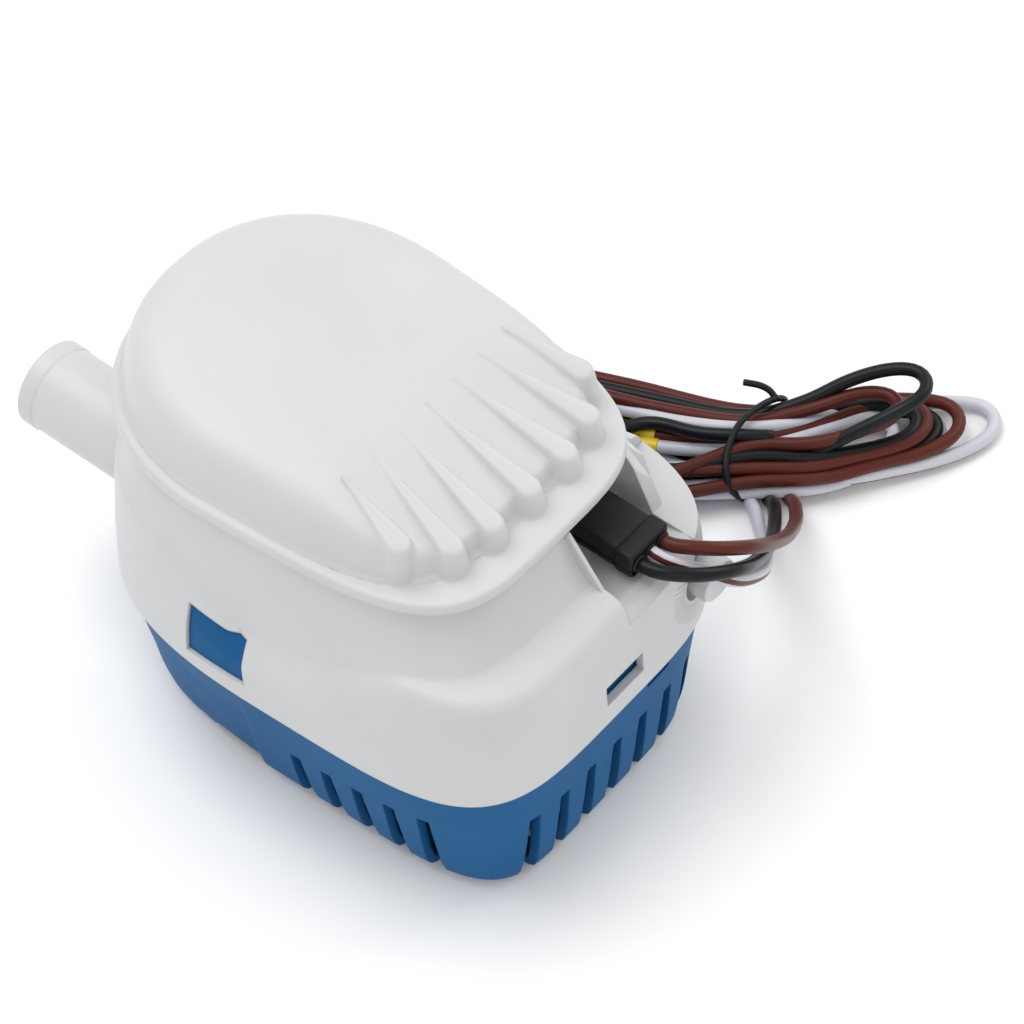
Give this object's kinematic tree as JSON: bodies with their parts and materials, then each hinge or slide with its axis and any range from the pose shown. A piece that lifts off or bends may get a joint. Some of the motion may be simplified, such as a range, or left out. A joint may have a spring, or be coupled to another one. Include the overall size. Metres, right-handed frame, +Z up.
{
  "type": "bilge pump",
  "caption": "Automatic submersible bilge pump: white domed motor housing with side outlet, on a blue slotted strainer base with release tabs, float switch, test knob and coiled leads.",
  "frame": {"origin": "on the flat underside of the strainer base, where it is fastened down, below the middle of the housing", "axes": "+X away from the outlet, towards the cable end; +Y towards the side with the test knob; +Z up, along the motor shaft"},
  "size_m": [0.1689, 0.2025, 0.105],
  "materials": {
    "white_plastic": "satin moulded white plastic",
    "blue_plastic": "satin moulded blue plastic",
    "black_plastic": "moulded black plastic",
    "black_rubber": "soft black seal rubber",
    "boot_rubber": "firm black rubber",
    "stainless": "plain stainless",
    "motor_steel": "plated steel",
    "bronze": "sintered bronze",
    "ferrite": "dark ferrite or carbon",
    "iron": "laminated iron",
    "copper": "enamelled copper",
    "amber_plastic": "phenolic board",
    "board": "glass-fibre circuit board",
    "glass": "clear glass",
    "lead_black": "black insulation",
    "lead_white": "white insulation with one brown stripe",
    "lead_brown": "brown insulation",
    "tie_plastic": "black plastic-covered wire tie"
  },
  "bodies": {
    "base": {"strainer_base": "blue_plastic"},
    "pump": {"housing_shell": "white_plastic", "top_cover": "white_plastic", "cover_seal": "black_rubber", "volute_body": "white_plastic", "wear_plate": "black_plastic", "volute_screw_1": "stainless", "volute_screw_2": "stainless", "volute_screw_3": "stainless", "shaft_seal": "black_rubber", "lower_bearing": "bronze", "upper_bearing": "bronze", "motor_end_bell": "motor_steel", "motor_can": "motor_steel", "magnet_right": "ferrite", "magnet_left": "ferrite", "brush_holder": "amber_plastic", "brush_right": "ferrite", "brush_left": "ferrite", "switch_stem": "white_plastic", "reed_switch": "glass", "stem_clip": "stainless", "switch_board": "board", "knob_oring": "black_rubber", "cable_boot": "boot_rubber", "inner_wire_black": "lead_black", "inner_wire_white": "lead_white", "inner_wire_brown": "lead_brown", "lead_black": "lead_black", "lead_white": "lead_white", "lead_brown": "lead_brown", "lead_hank": "lead_brown", "lead_tie": "tie_plastic"},
    "right_tab": {"release_tab_right": "blue_plastic"},
    "left_tab": {"release_tab_left": "blue_plastic"},
    "rotor": {"motor_shaft": "stainless", "armature_core": "iron", "armature_windings": "copper", "commutator": "copper", "impeller": "black_plastic", "impeller_clip": "stainless"},
    "float": {"float_body": "black_plastic", "float_magnet": "ferrite"},
    "knob": {"test_knob": "white_plastic", "test_lever": "white_plastic"}
  },
  "joints": [
    {"name": "pump_lift", "type": "slide", "parent": "base", "child": "pump", "axis": [0, 0, 1], "range_m": [0, 0.05]},
    {"name": "right_tab_press", "type": "hinge", "parent": "base", "child": "right_tab", "pos_m": [-0.014, -0.043, 0.0305], "axis": [-1, 0, 0], "range_deg": [0, 5], "stiffness_Nm_per_rad": 1},
    {"name": "left_tab_press", "type": "hinge", "parent": "base", "child": "left_tab", "pos_m": [-0.014, 0.043, 0.0305], "axis": [1, 0, 0], "range_deg": [0, 5], "stiffness_Nm_per_rad": 1},
    {"name": "rotor_spin", "type": "hinge", "parent": "pump", "child": "rotor", "pos_m": [-0.022, 0, 0.07], "axis": [0, 0, 1], "continuous": true},
    {"name": "test_knob_turn", "type": "hinge", "parent": "pump", "child": "knob", "pos_m": [0.06, 0.0324, 0.0556], "axis": [1, 0, 0], "range_deg": [0, 90]},
    {"name": "float_lift", "type": "slide", "parent": "pump", "child": "float", "axis": [0, 0, 1], "range_m": [0, 0.008]}
  ],
  "couplings": [
    {"joint": "test_knob_turn", "follows": "float_lift", "rad_per_m": 196.3}
  ]
}
